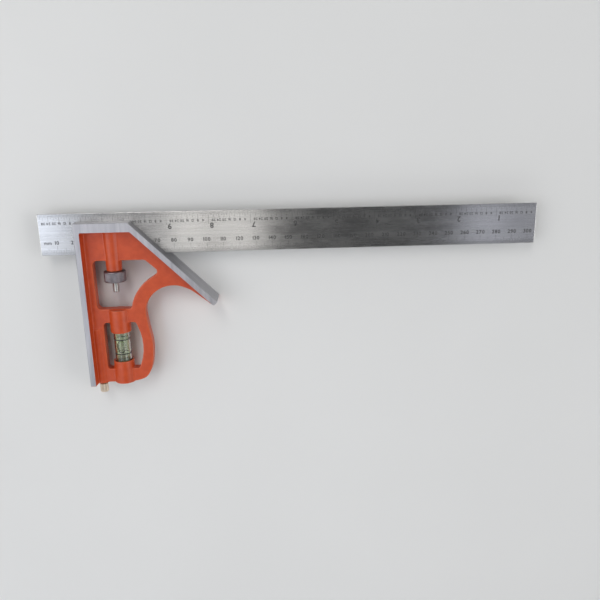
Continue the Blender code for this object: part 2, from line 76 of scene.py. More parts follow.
# Head casting, measured from its corner as the part is
HEAD_TOP_LENGTH = 32.0 * MM
MITRE_DROP = 50.2 * MM
TIP_X = HEAD_TOP_LENGTH + MITRE_DROP
FLANGE = 3.3 * MM
TOP_FLANGE = 5.5 * MM
WEB_THICKNESS = 6.6 * MM
SLOT_WIDTH = 1.6 * MM
SLOT_RELIEF = 0.6 * MM
SEAT_LENGTH = 9.0 * MM
ARCH_CENTRE = (55.0 * MM, -58.7 * MM)
ARCH_RADIUS = 18.4 * MM
ARCH_WALL = 8.6 * MM
UPPER_WINDOW_LEFT = 7.4 * MM
UPPER_WINDOW_TOP = -23.7 * MM
BRIDGE_TOP = -54.3 * MM
BRIDGE_BOTTOM = -63.2 * MM
LOWER_WINDOW_LEFT = 10.2 * MM
LOWER_WINDOW_RIGHT = 30.0 * MM
LOWER_WINDOW_BOTTOM = -93.8 * MM
LOCK_BOSS_BOTTOM = -30.1 * MM
LOCK_BOSS_RADIUS = 5.3 * MM
LOCK_BOSS_END_RADIUS = 4.7 * MM
LOCK_BORE_RADIUS = 3.7 * MM
LOCK_BORE_TOP = -4.0 * MM
VIAL_BOSS_RADIUS = 6.4 * MM
VIAL_BORE_RADIUS = 5.4 * MM
UPPER_VIAL_BOSS = (-55.0 * MM, -69.8 * MM)
LOWER_VIAL_BOSS_TOP = -88.5 * MM
SCRIBER_BOSS_RADIUS = 4.3 * MM
SCRIBER_BOSS_TOP = -67.0 * MM
SCRIBER_BORE_RADIUS = 1.2 * MM
SCRIBER_BORE_TOP = -58.5 * MM
BUSHING_BORE_RADIUS = 2.4 * MM
VIAL_BORE_TOP = TUBE_HIGH.y - CORNER.y + GAP
BUSHING_BORE_TOP = BUSHING_HIGH.y - CORNER.y + GAP

# Knots of the grip's edge below the arch, in mm from the corner
GRIP_KNOTS = ((37.7, -64.0), (39.7, -77.5), (38.9, -89.0),
              (36.9, -96.0), (33.6, -100.4), (28.6, -102.2))

# Casting finish
MACHINING_STOCK = 0.8 * MM
BOSS_FACING = 0.3 * MM
TIP_ROUNDING = 0.9 * MM
TIP_ALLOWANCE = 0.1 * MM
WEB_FOOT = 0.4 * MM
ENVELOPE_MARGIN = 1.2 * MM
SLOT_METAL_BELOW = 21.2 * MM
EDGE_BREAK = 0.22 * MM
DRAFT = 0.35 * MM
VOXEL = 0.36 * MM
CAST_SMOOTHING = 7
FACE_TOLERANCE = 0.01 * MM
BREAK_TOLERANCE = 0.02 * MM
BORE_TOLERANCE = 0.05 * MM
DRAFT_STEPS = ((0.25, 1.0 * MM), (0.5, 2.6 * MM), (0.75, 4.1 * MM), (1.0, 5.4 * MM))
CORNER_STEPS = 6
MERGE = 0.01 * MM
SMOOTH_ANGLE = math.radians(32.0)
FLAT_ANGLE = math.radians(5.0)

# Camera and light. SKY has pairs (height of the direction, brightness). A lamp has its name, place,
# target, size and radiance, and a panel its name, left, right, low and high edges and radiance. A
# colour may come last.
CAMERA_PLACE = (-0.01482, 0.10107, 0.37628)
CAMERA_TURN = (-15.40, -3.20, -0.98)
CAMERA_LENS = 36.0
CAMERA_SENSOR = 36.0
FLOOR_REACH = 12.0
FLOOR_THICKNESS = 0.02
SKY = ((0.0, 0.36), (0.12, 0.60), (0.28, 0.62), (0.85, 0.08))
SKY_TINT = (0.96, 0.98, 1.0)
HEAD_MIDDLE = (-0.08, 0.0, 0.0)
KEY_LAMP = ("key", (-0.28, 0.86, 1.0), HEAD_MIDDLE, (0.36, 0.60), 5.0, (1.0, 0.985, 0.96))
SIDE_LAMPS = (
    ("panel_front", (0.0, -1.0, 0.55), (0.0, 0.0, 0.0), (1.2, 0.5), 1.0),
    ("flank_left", (-1.05, 0.15, 0.85), HEAD_MIDDLE, (1.0, 0.6), 2.2),
    ("flank_right", (1.05, 0.0, 0.85), HEAD_MIDDLE, (1.0, 0.6), 2.6),
)
PANEL_HEIGHT = 1.0
WARM, COOL, NEUTRAL = (1.0, 0.98, 0.95), (0.84, 0.87, 1.0), (0.97, 0.97, 1.0)
PANELS = (
    ("panel_end", -0.80, -0.47, -0.70, 0.40, 2.10, (0.82, 0.88, 1.0)),
    ("panel_head", -0.46, -0.235, -0.70, 0.40, 0.30, NEUTRAL),
    ("panel_band", -0.235, -0.155, -0.32, 0.40, 1.45, WARM),
    ("panel_gap", -0.155, -0.115, -0.32, 0.40, 0.28, WARM),
    ("panel_edge", -0.115, -0.028, -0.32, 0.40, 1.55, WARM),
    ("panel_mitre", -0.235, -0.035, -0.70, -0.32, 0.20, NEUTRAL),
    ("panel_streak", 0.44, 0.52, -0.70, 0.40, 0.90, COOL),
    ("panel_far", 0.52, 0.72, -0.70, 0.40, 0.40, COOL),
)


# ---- mesh helpers

def new_object(name, data):
    obj = bpy.data.objects.new(name, data)
    bpy.context.scene.collection.objects.link(obj)
    return obj


def from_bmesh(name, shape):
    mesh = bpy.data.meshes.new(name)
    bmesh.ops.recalc_face_normals(shape, faces=shape.faces)
    shape.to_mesh(mesh)
    shape.free()
    return mesh


def box_mesh(name, low, high, bevel=0.0):
    low, high = Vector(low), Vector(high)
    shape = bmesh.new()
    bmesh.ops.create_cube(shape, size=1.0)
    bmesh.ops.scale(shape, vec=high - low, verts=shape.verts)
    bmesh.ops.translate(shape, vec=(high + low) / 2, verts=shape.verts)
    if bevel:
        bmesh.ops.bevel(shape, geom=shape.edges, offset=bevel, segments=2, profile=0.6,
                        affect="EDGES")
    return from_bmesh(name, shape)


def lathe(name, profile, place, sides=96, closed=False, shape_at=None):
    """Turns (radius, height) about an axis along Y through place, top of the outer side first."""
    shape = bmesh.new()
    rows = []
    for radius, height in profile:
        row = []
        for side in range(sides if radius else 1):
            angle = 2 * math.pi * side / sides
            reach = shape_at(radius, height, angle) if shape_at else radius
            row.append(shape.verts.new((
                place[0] + reach * math.cos(angle),
                place[1] + height,
                place[2] - reach * math.sin(angle),
            )))
        rows.append(row)
    pairs = list(zip(rows, rows[1:]))
    if closed:
        pairs.append((rows[-1], rows[0]))
    for upper, lower in pairs:
        for side in range(sides):
            after = (side + 1) % sides
            if len(upper) == 1:
                shape.faces.new((upper[0], lower[side], lower[after]))
            elif len(lower) == 1:
                shape.faces.new((upper[side], lower[0], upper[after]))
            else:
                shape.faces.new((upper[side], lower[side], lower[after], upper[after]))
    return from_bmesh(name, shape)


def stepped(profile, step):
    """The profile with extra rows, no further apart than step."""
    rows = [profile[0]]
    for (r0, h0), (r1, h1) in zip(profile, profile[1:]):
        count = max(1, math.ceil(math.hypot(r1 - r0, h1 - h0) / step))
        for index in range(1, count + 1):
            t = index / count
            rows.append((r0 + (r1 - r0) * t, h0 + (h1 - h0) * t))
    return rows


def round_corner(centre, radius, start, end, steps=5):
    """Pairs of places along an arc, angles in degrees from the first axis to the second."""
    rows = []
    for step in range(steps + 1):
        angle = math.radians(start + (end - start) * step / steps)
        rows.append((centre[0] + radius * math.cos(angle), centre[1] + radius * math.sin(angle)))
    return rows


def barrel(radius, top, bottom, chamfer):
    """The outer side of a turned profile, chamfered at both ends."""
    return [(radius - chamfer, top), (radius, top - chamfer),
            (radius, bottom + chamfer), (radius - chamfer, bottom)]


def triangle_wave(value):
    """0 at whole numbers, 1 half-way between them."""
    return 1.0 - abs(2.0 * (value - math.floor(value)) - 1.0)


def rounded(corners):
    """Outline points for corners (x, y, radius), each radius drawn as an arc."""
    points = []
    for index, (x, y, radius) in enumerate(corners):
        here = Vector((x, y))
        if radius == 0.0:
            points.append(here)
            continue
        before = (Vector(corners[index - 1][:2]) - here).normalized()
        after = (Vector(corners[(index + 1) % len(corners)][:2]) - here).normalized()
        half_angle = before.angle(after) / 2
        centre = here + (before + after).normalized() * radius / math.sin(half_angle)
        reach = radius / math.tan(half_angle)
        start = here + before * reach - centre
        turn = start.angle_signed(here + after * reach - centre)
        for step in range(CORNER_STEPS + 1):
            turned = Matrix.Rotation(-turn * step / CORNER_STEPS, 2) @ start
            points.append(centre + turned)
    return points


def arc(centre, radius, start, end, steps):
    """The same as corners without a radius, for rounded()."""
    return [(x, y, 0.0) for x, y in round_corner(centre, radius, start, end, steps)]


def smooth_outline(knots, steps):
    """Points of a curve that passes smoothly through the knots, ends included."""
    points = []
    last = len(knots) - 1
    for index in range(last):
        p0 = Vector(knots[max(index - 1, 0)])
        p1, p2 = Vector(knots[index]), Vector(knots[index + 1])
        p3 = Vector(knots[min(index + 2, last)])
        for step in range(steps):
            t = step / steps
            points.append(0.5 * (
                2 * p1 + (p2 - p0) * t + (2 * p0 - 5 * p1 + 4 * p2 - p3) * t ** 2
                + (3 * p1 - p0 - 3 * p2 + p3) * t ** 3
            ))
    points.append(Vector(knots[last]))
    return points


def slab(name, outline, bottom, top, edge_break=0.0):
    """A flat outline in the head's own frame, as a closed plate from bottom to top."""
    shape = bmesh.new()
    ring = [shape.verts.new((x, y, bottom)) for x, y in outline]
    face = shape.faces.new(ring)
    grown = bmesh.ops.extrude_face_region(shape, geom=[face])
    moved = [item for item in grown["geom"] if isinstance(item, bmesh.types.BMVert)]
    bmesh.ops.translate(shape, vec=(0.0, 0.0, top - bottom), verts=moved)
    if edge_break:
        rims = [edge for edge in shape.edges
                if abs(edge.verts[0].co.z - edge.verts[1].co.z) < MERGE or edge.calc_length() > MM]
        bmesh.ops.bevel(shape, geom=rims, offset=edge_break, segments=1, affect="EDGES")
    bmesh.ops.translate(shape, vec=CORNER, verts=shape.verts)
    bmesh.ops.triangulate(shape, faces=[face for face in shape.faces if len(face.verts) > 4])
    return from_bmesh(name, shape)


def rod(name, x, top, bottom, radius, end_radius=None, sides=96):
    """A round boss or drill along the head's Y, in the head's own frame."""
    low_radius = radius if end_radius is None else end_radius
    profile = [(0.0, top), (radius, top), (low_radius, bottom), (0.0, bottom)]
    return lathe(name, profile, CORNER + Vector((x, 0.0, 0.0)), sides)


def combine(obj, mesh, operation, solver="MANIFOLD"):
    """Adds a Boolean with a mesh and returns the helper object that holds it."""
    helper = new_object(mesh.name + "_tool", mesh)
    modifier = obj.modifiers.new(mesh.name, "BOOLEAN")
    modifier.operation = operation
    modifier.solver = solver
    modifier.object = helper
    return helper


def baked(obj, name, helpers=()):
    """A new object with the modifiers of obj applied; obj and its helpers are removed."""
    graph = bpy.context.evaluated_depsgraph_get()
    mesh = bpy.data.meshes.new_from_object(obj.evaluated_get(graph))
    for used in (obj, *helpers):
        bpy.data.objects.remove(used, do_unlink=True)
    mesh.name = name
    return new_object(name, mesh)


def add_piece(mesh, body, slot, material, *stands_for):
    """A mesh of one material as a finished piece of the same name."""
    return finish_piece(new_object(mesh.name, mesh), body, (material,), stands_for)


def finish_piece(obj, body, materials, stands_for=(), angle=SMOOTH_ANGLE):
    """Shades a piece, ties it to its body and hides the nodes it stands for."""
    obj.data.materials.clear()
    for material in materials:
        obj.data.materials.append(material)
    obj.data.shade_smooth()
    obj.data.set_sharp_from_angle(angle=angle)
    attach(obj, body)
    if stands_for:
        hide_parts(*stands_for)
    return obj


# ---- materials

GRAIN_MAP = "across_grain"


class Paint:
    """A Principled material, with short calls for the nodes that feed it."""

    def __init__(self, name, color, roughness, metallic=0.0, **settings):
        self.material = bpy.data.materials.new(name)
        self.material.use_nodes = True
        self.tree = self.material.node_tree
        self.shader = self.tree.nodes["Principled BSDF"]
        self.shader.inputs["Base Color"].default_value = (*color, 1.0)
        self.shader.inputs["Roughness"].default_value = roughness
        self.shader.inputs["Metallic"].default_value = metallic
        for key, value in settings.items():
            self.shader.inputs[key.replace("_", " ")].default_value = value
        self.place = self.tree.nodes.new("ShaderNodeTexCoord").outputs["Object"]
        self.height = None

    def link(self, output, socket):
        self.tree.links.new(output, socket)

    def node(self, kind, **inputs):
        """A node whose inputs are set to values, or linked where an output is given."""
        node = self.tree.nodes.new("ShaderNode" + kind)
        for key, value in inputs.items():
            socket = node.inputs[key.replace("_", " ")]
            if isinstance(value, bpy.types.NodeSocket):
                self.link(value, socket)
            else:
                socket.default_value = value
        return node

    def noise(self, stretch, detail=3.0, roughness=0.55):
        """Noise in the object's own coordinates; stretch is one scale, or one for each axis."""
        scale = stretch if isinstance(stretch, tuple) else (stretch,) * 3
        mapping = self.node("Mapping", Scale=scale, Vector=self.place)
        texture = self.node("TexNoise", Scale=1.0, Detail=detail, Roughness=roughness,
                            Vector=mapping.outputs["Vector"])
        return texture.outputs["Fac"]

    def remap(self, value, low, high, to_low=0.0, to_high=1.0):
        node = self.node("MapRange", Value=value, From_Min=low, From_Max=high,
                         To_Min=to_low, To_Max=to_high)
        return node.outputs["Result"]

    def blend(self, factor, first, second):
        node = self.node("Mix")
        node.data_type = "RGBA"
        self.link(factor, node.inputs["Factor"])
        for socket, color in ((node.inputs[6], first), (node.inputs[7], second)):
            if isinstance(color, tuple):
                socket.default_value = (*color, 1.0)
            else:
                self.link(color, socket)
        return node.outputs[2]

    def add(self, first, second):
        node = self.node("Math")
        node.operation = "ADD"
        self.link(first, node.inputs[0])
        self.link(second, node.inputs[1])
        return node.outputs[0]

    def level(self, low=0.5, high=0.7):
        """1 on faces that look up or down along Z, 0 on upright walls."""
        normal = self.node("SeparateXYZ", Vector=self.place.node.outputs["Normal"])
        size = self.node("Math")
        size.operation = "ABSOLUTE"
        self.link(normal.outputs["Z"], size.inputs[0])
        return self.remap(size.outputs[0], low, high)

    def edges(self, low=0.505, high=0.56):
        """0 on flat and hollow places, 1 on sharp outer edges of a dense mesh."""
        return self.remap(self.node("NewGeometry").outputs["Pointiness"], low, high)

    def color(self, value):
        self.link(value, self.shader.inputs["Base Color"])

    def two_tone(self, value, dark, light, low=0.3, high=0.7):
        """Colours the surface from dark to light as the value goes from low to high."""
        self.color(self.blend(self.remap(value, low, high), dark, light))

    def roughness(self, value, smoothest, roughest, low=0.3, high=0.7):
        """Makes the surface rougher as the value goes from low to high."""
        rough = self.remap(value, low, high, smoothest, roughest)
        self.link(rough, self.shader.inputs["Roughness"])

    def bump(self, height, depth, strength=1.0):
        """A bump of this depth, on top of the bumps given before."""
        node = self.node("Bump", Strength=strength, Distance=depth, Height=height)
        if self.height is not None:
            self.link(self.height, node.inputs["Normal"])
        self.height = node.outputs["Normal"]
        self.link(self.height, self.shader.inputs["Normal"])


def orange_enamel():
    """Sprayed enamel on a rough casting: orange peel, and a painted highlight of lighter orange on
    the sharp outer edges.
    """
    paint = Paint("orange_enamel", (0.52, 0.066, 0.012), 0.42,
                  Coat_Weight=0.08, Coat_Roughness=0.2)
    tone = paint.noise(260.0, 4.0)
    body = paint.blend(paint.remap(tone, 0.35, 0.65),
                       (0.485, 0.056, 0.009), (0.555, 0.074, 0.015))
    # painted highlight: the sharp outer edges are coloured a lighter orange, as if they caught the
    # light
    paint.color(paint.blend(paint.edges(), body, (0.63, 0.130, 0.045)))
    paint.roughness(paint.noise(900.0), 0.32, 0.46)
    paint.bump(paint.noise(1500.0, 2.0), 0.05 * MM, 0.7)
    paint.bump(paint.noise(220.0, 3.0), 0.22 * MM, 0.5)
    return paint.material


def ground_zinc():
    """Surface-ground faces of the casting, with the wheel's lines along each face."""
    paint = Paint("ground_zinc", (0.47, 0.46, 0.485), 0.34, 1.0)
    level = paint.level()
    lines = paint.blend(level, paint.noise((90.0, 90.0, 5200.0), 4.0, 0.65),
                        paint.noise((5200.0, 90.0, 5200.0), 4.0, 0.65))
    bands = paint.blend(level, paint.noise((30.0, 30.0, 900.0), 3.0),
                        paint.noise((600.0, 30.0, 600.0), 3.0))
    paint.two_tone(bands, (0.41, 0.405, 0.43), (0.545, 0.535, 0.555))
    paint.roughness(lines, 0.38, 0.54)
    paint.bump(lines, 0.006 * MM, 0.8)
    return paint.material


def satin_stainless():
    """Rolled stainless with a fine lengthways grain."""
    paint = Paint("satin_stainless", (0.60, 0.595, 0.58), 0.26, 1.0, Anisotropic=0.9)
    tangent = paint.node("Tangent")
    tangent.direction_type = "UV_MAP"
    tangent.uv_map = GRAIN_MAP
    paint.link(tangent.outputs["Tangent"], paint.shader.inputs["Tangent"])
    grain = paint.noise((26.0, 6500.0, 6500.0), 4.0, 0.7)
    streaks = paint.noise((9.0, 900.0, 900.0), 3.0)
    clouds = paint.noise((45.0, 120.0, 120.0), 3.0)
    paint.two_tone(paint.add(streaks, clouds), (0.50, 0.495, 0.49), (0.60, 0.595, 0.59), 0.7, 1.3)
    paint.roughness(paint.add(grain, clouds), 0.20, 0.34, 0.65, 1.35)
    paint.bump(grain, 0.002 * MM, 0.6)
    return paint.material


def etched_black():
    """Oxide-blackened etching, a little uneven."""
    paint = Paint("etched_black", (0.030, 0.030, 0.033), 0.62)
    wear = paint.noise(700.0, 4.0)
    paint.two_tone(wear, (0.022, 0.022, 0.024), (0.085, 0.083, 0.080), 0.35, 0.75)
    paint.roughness(wear, 0.5, 0.75)
    return paint.material


def plated_steel(name, dark, light, rough=(0.22, 0.40)):
    """Turned and plated steel, with tool marks around it and a cloudy plating."""
    paint = Paint(name, light, 0.3, 1.0)
    turning = paint.noise((60.0, 5200.0, 60.0), 3.0, 0.6)
    cloud = paint.noise(420.0, 4.0)
    paint.two_tone(cloud, dark, light)
    paint.roughness(paint.add(turning, cloud), *rough, 0.7, 1.3)
    paint.bump(turning, 0.008 * MM, 0.7)
    return paint.material


def aged_brass(name, dark, light):
    """Turned brass gone slightly dull in patches."""
    paint = Paint(name, light, 0.34, 1.0)
    cloud = paint.noise(650.0, 5.0)
    turning = paint.noise((80.0, 5200.0, 80.0), 3.0)
    paint.two_tone(cloud, dark, light)
    paint.roughness(cloud, 0.28, 0.46)
    paint.bump(turning, 0.008 * MM, 0.6)
    return paint.material


def clear_acrylic(name, roughness=0.03):
    """Polished acrylic with faint flow marks."""
    paint = Paint(name, (0.97, 0.985, 0.975), roughness, IOR=1.49, Transmission_Weight=1.0)
    paint.roughness(paint.noise((500.0, 90.0, 500.0)), roughness * 0.6, roughness * 1.6)
    paint.bump(paint.noise((160.0, 40.0, 160.0), 2.0), 0.02 * MM, 0.25)
    return paint.material


def level_spirit():
    """Green spirit, a touch uneven from the light it gathers."""
    paint = Paint("level_spirit", (0.84, 0.97, 0.66), 0.02, IOR=1.36, Transmission_Weight=0.90)
    depth = paint.noise((90.0, 60.0, 90.0), 2.0)
    paint.two_tone(depth, (0.80, 0.96, 0.60), (0.88, 0.985, 0.72))
    return paint.material


def moulded_plastic(name, dark, light, roughness):
    """Matt moulded plastic with a fine spark-eroded texture."""
    paint = Paint(name, light, roughness)
    cloud = paint.noise(300.0, 4.0)
    paint.two_tone(cloud, dark, light)
    paint.roughness(cloud, roughness * 0.85, roughness * 1.1)
    paint.bump(paint.noise(4200.0, 2.0), 0.012 * MM, 0.5)
    return paint.material


# ---- head casting

def flange_outline(stock, draft=0.0):
    """The band that carries the three working faces, with stock left on them."""
    wall, top_wall = FLANGE + draft, TOP_FLANGE + draft
    across = wall / math.sqrt(2)
    inner_x = HEAD_TOP_LENGTH - 2 * across + top_wall
    out = stock * math.tan(math.pi / 8)
    over = stock / math.sqrt(2)
    return rounded([
        (-stock, stock, 0.0),
        (HEAD_TOP_LENGTH + out, stock, 0.0),
        (TIP_X + over - TIP_ALLOWANCE, -MITRE_DROP + over + TIP_ALLOWANCE, TIP_ROUNDING),
        (TIP_X - across, -MITRE_DROP - across, TIP_ROUNDING),
        (inner_x, -top_wall, 0.0),
        (wall, -top_wall, 0.0),
        (wall, -HEAD_HEIGHT - stock, 0.0),
        (-stock, -HEAD_HEIGHT - stock, 0.0),
    ])


def web_outline():
    """The thin plate between the faces, with the arched grip below the mitre."""
    foot = -HEAD_HEIGHT + WEB_FOOT
    grip = [
        (TIP_X - 4.4 * MM, -MITRE_DROP - 3.0 * MM),
        (TIP_X - 11.5 * MM, -MITRE_DROP + 2.8 * MM),
        *round_corner(ARCH_CENTRE, ARCH_RADIUS, 58, 165, 4),
        *((x * MM, y * MM) for x, y in GRIP_KNOTS),
        (25.0 * MM, foot),
    ]
    inside = FLANGE / 2
    return [
        (inside, foot),
        (inside, -inside),
        (HEAD_TOP_LENGTH - inside, -inside),
        (TIP_X - 3.0 * MM, -MITRE_DROP + 0.4 * MM),
        *smooth_outline(grip, 8),
    ]


def upper_window_outline():
    """The window below the rule, which follows the arch at a wall's distance."""
    side = arc(ARCH_CENTRE, ARCH_RADIUS + ARCH_WALL, 105, 169, 9)
    return rounded([
        (UPPER_WINDOW_LEFT, UPPER_WINDOW_TOP, 2.6 * MM),
        (39.0 * MM, UPPER_WINDOW_TOP, 2.4 * MM),
        (47.3 * MM, -31.4 * MM, 2.4 * MM),
        *side[2:-1],
        (28.4 * MM, BRIDGE_TOP, 2.2 * MM),
        (UPPER_WINDOW_LEFT, BRIDGE_TOP, 2.6 * MM),
    ])


def lower_window_outline():
    """The vial's window, with a bowed right side."""
    bow = arc((-0.9 * MM, -78.5 * MM), 34.4 * MM, 22, -22, 6)
    return rounded([
        (LOWER_WINDOW_LEFT, BRIDGE_BOTTOM, 1.8 * MM),
        (LOWER_WINDOW_RIGHT, BRIDGE_BOTTOM, 1.5 * MM),
        *bow,
        (LOWER_WINDOW_RIGHT, LOWER_WINDOW_BOTTOM, 1.5 * MM),
        (LOWER_WINDOW_LEFT, LOWER_WINDOW_BOTTOM, 1.8 * MM),
    ])


def machined_envelope():
    """What the mill and the grinder leave: flat faces with a small broken edge."""
    far = TIP_X + ENVELOPE_MARGIN
    outline = [(0.0, 0.0), (HEAD_TOP_LENGTH, 0.0), (far, HEAD_TOP_LENGTH - far),
               (far, -HEAD_HEIGHT), (0.0, -HEAD_HEIGHT)]
    return slab("envelope", outline, -HALF_THICKNESS, HALF_THICKNESS, EDGE_BREAK)


def cast_blank():
    """Plate, flanges and bosses run together as a casting, with soft edges and fillets."""
    web, half = WEB_THICKNESS / 2, HALF_THICKNESS
    plate = new_object("plate", slab("plate", web_outline(), -web, web))
    helpers = [
        combine(plate, slab(name, outline, -half, half), "DIFFERENCE", "EXACT")
        for name, outline in (("upper_window", upper_window_outline()),
                              ("lower_window", lower_window_outline()))
    ]
    plate = baked(plate, "plate", helpers)
    foot = -HEAD_HEIGHT - MACHINING_STOCK
    solids = [
        slab("flange", flange_outline(MACHINING_STOCK),
             -half - MACHINING_STOCK, half + MACHINING_STOCK),
        *(slab("draft", flange_outline(MACHINING_STOCK, DRAFT * share), inset - half, half - inset)
          for share, inset in DRAFT_STEPS),
        rod("lock_boss", LOCK_AT, -FLANGE / 2, LOCK_BOSS_BOTTOM - BOSS_FACING,
            LOCK_BOSS_RADIUS, LOCK_BOSS_END_RADIUS),
        rod("vial_boss_upper", VIAL_AT, *UPPER_VIAL_BOSS, VIAL_BOSS_RADIUS),
        rod("vial_boss_lower", VIAL_AT, LOWER_VIAL_BOSS_TOP, foot, VIAL_BOSS_RADIUS),
        rod("scriber_boss", SCRIBER_AT, SCRIBER_BOSS_TOP, foot, SCRIBER_BOSS_RADIUS),
    ]
    joined = bmesh.new()
    joined.from_mesh(plate.data)
    bpy.data.objects.remove(plate, do_unlink=True)
    for mesh in solids:
        joined.from_mesh(mesh)
    blank = new_object("blank", from_bmesh("blank", joined))
    remesh = blank.modifiers.new("cast", "REMESH")
    remesh.mode = "VOXEL"
    remesh.voxel_size = VOXEL
    soften = blank.modifiers.new("soften", "SMOOTH")
    soften.factor = 0.5
    soften.iterations = CAST_SMOOTHING
    return baked(blank, "blank")


def make_head(enamel, zinc):
    """The casting with its faces, bores and slot cut, and bare metal where a tool was."""
    head = cast_blank()
    below = -HEAD_HEIGHT - OVERSHOOT
    slot_floor = RULE_LOW.y - GAP
    half_slot = SLOT_WIDTH / 2
    far = CORNER.x + TIP_X
    relief_end = CORNER.x + HEAD_TOP_LENGTH - (slot_floor - CORNER.y) - SEAT_LENGTH
    faced = LOCK_BOSS_BOTTOM - 2 * OVERSHOOT
    helpers = [combine(head, machined_envelope(), "INTERSECT")]
    for name, x, radius, bottom, top in (
        ("lock_bore", LOCK_AT, LOCK_BORE_RADIUS, LOCK_BOSS_BOTTOM - OVERSHOOT, LOCK_BORE_TOP),
        ("lock_facing", LOCK_AT, LOCK_BOSS_RADIUS + MM, faced, LOCK_BOSS_BOTTOM),
        ("vial_bore", VIAL_AT, VIAL_BORE_RADIUS, below, VIAL_BORE_TOP),
        ("bushing_bore", SCRIBER_AT, BUSHING_BORE_RADIUS, below, BUSHING_BORE_TOP),
        ("scriber_bore", SCRIBER_AT, SCRIBER_BORE_RADIUS, below, SCRIBER_BORE_TOP),
    ):
        helpers.append(combine(head, rod(name, x, top, bottom, radius), "DIFFERENCE"))
    slot = box_mesh(
        "slot", (CORNER.x - OVERSHOOT, slot_floor, MID_Z - half_slot),
        (far, CORNER.y + OVERSHOOT, MID_Z + half_slot),
    )
    relief = box_mesh(
        "relief", (CORNER.x + SEAT_LENGTH, slot_floor - SLOT_RELIEF, MID_Z - half_slot),
        (relief_end, slot_floor + SLOT_RELIEF, MID_Z + half_slot),
    )
    helpers.append(combine(head, slot, "DIFFERENCE"))
    helpers.append(combine(head, relief, "DIFFERENCE"))
    head = baked(head, "head_body", helpers)
    finish_piece(head, "head", (enamel, zinc), ("head_casting",))
    mark_machined(head.data)
    return head


def mark_machined(mesh):
    """Gives the bare metal to every face that a tool cut and the enamel to the rest."""
    count = len(mesh.polygons)
    centres = np.empty(count * 3)
    mesh.polygons.foreach_get("center", centres)
    x, y, z = (centres.reshape(-1, 3) - np.array(CORNER)).T
    near, flat = EDGE_BREAK + BREAK_TOLERANCE, FACE_TOLERANCE
    working = (x < near) | (-y < near) | ((HEAD_TOP_LENGTH - x - y) / math.sqrt(2) < near)
    sides = HALF_THICKNESS - np.abs(z) < flat
    slot = (np.abs(z) < SLOT_WIDTH / 2 + flat) & (y > -SLOT_METAL_BELOW)
    bare = working | sides | slot
    for axis, radius, top, bottom in (
        (LOCK_AT, LOCK_BORE_RADIUS, LOCK_BORE_TOP, LOCK_BOSS_BOTTOM),
        (VIAL_AT, VIAL_BORE_RADIUS, VIAL_BORE_TOP, -HEAD_HEIGHT),
        (SCRIBER_AT, BUSHING_BORE_RADIUS, BUSHING_BORE_TOP, -HEAD_HEIGHT),
    ):
        reach = np.hypot(x - axis, z)
        bare |= (reach < radius + BORE_TOLERANCE) & (y < top + flat) & (y > bottom + flat)
    mesh.polygons.foreach_set("material_index", bare.astype(np.int32))


# ---- rule

INCH = 25.4 * MM
RULE_EDGE_BREAK = 0.2 * MM
GROOVE_HALF_WIDTH = 1.5 * MM
GROOVE_DEPTH = 0.55 * MM
GROOVE_ROUNDING = 0.10 * MM
TICK_WIDTH = 0.13 * MM
TICK_INSET = 0.05 * MM
ETCH_DEPTH = 0.010 * MM
ETCH_ROOT = 0.010 * MM
ETCH_MERGE = 0.001 * MM


# Tick lengths in mm, the first that fits is taken: METRIC_TICKS at every so many half millimetres,
# INCH_TICKS where an inch is cut into so many parts
METRIC_TICKS = ((20, 5.6), (10, 4.3), (2, 3.1), (1, 2.0))
INCH_TICKS = ((1, 8.0), (2, 5.2), (4, 4.6), (8, 3.9), (16, 2.9), (32, 2.1))

# Marks, each with its foot's distance from the edge and its height; GLYPH_GAP is a share of that
TEN_NUMERAL = (6.6 * MM, 2.3 * MM)
UNIT_MARK = (6.6 * MM, 2.1 * MM)
UNIT_MARK_PLACE = 4.6 * MM
EIGHTH_NUMERAL = (5.0 * MM, 1.55 * MM)
INCH_NUMERAL = (7.4 * MM, 3.3 * MM)
INCH_NUMERAL_OFFSET = 1.9 * MM
GLYPH_GAP = 0.16


class Glyphs:
    """Flat numerals of the built-in font, one unit high, each made once."""

    def __init__(self):
        self.shapes = {}

    def shape(self, character):
        if character not in self.shapes:
            curve = bpy.data.curves.new("glyph", "FONT")
            curve.body = character
            curve.resolution_u = 3
            curve.extrude = 0.5
            curve.offset = 0.022
            holder = new_object("glyph", curve)
            graph = bpy.context.evaluated_depsgraph_get()
            mesh = bpy.data.meshes.new_from_object(holder.evaluated_get(graph))
            bpy.data.objects.remove(holder, do_unlink=True)
            points = np.array([vertex.co for vertex in mesh.vertices])
            faces = [tuple(face.vertices) for face in mesh.polygons]
            if character.isdigit():
                self.unit = getattr(self, "unit", np.ptp(points[:, 1]))
            points[:, :2] /= self.unit
            left, right = points[:, 0].min(), points[:, 0].max()
            points[:, 0] -= left
            points[:, 2] += 0.5
            self.shapes[character] = (points, faces, right - left)
        return self.shapes[character]


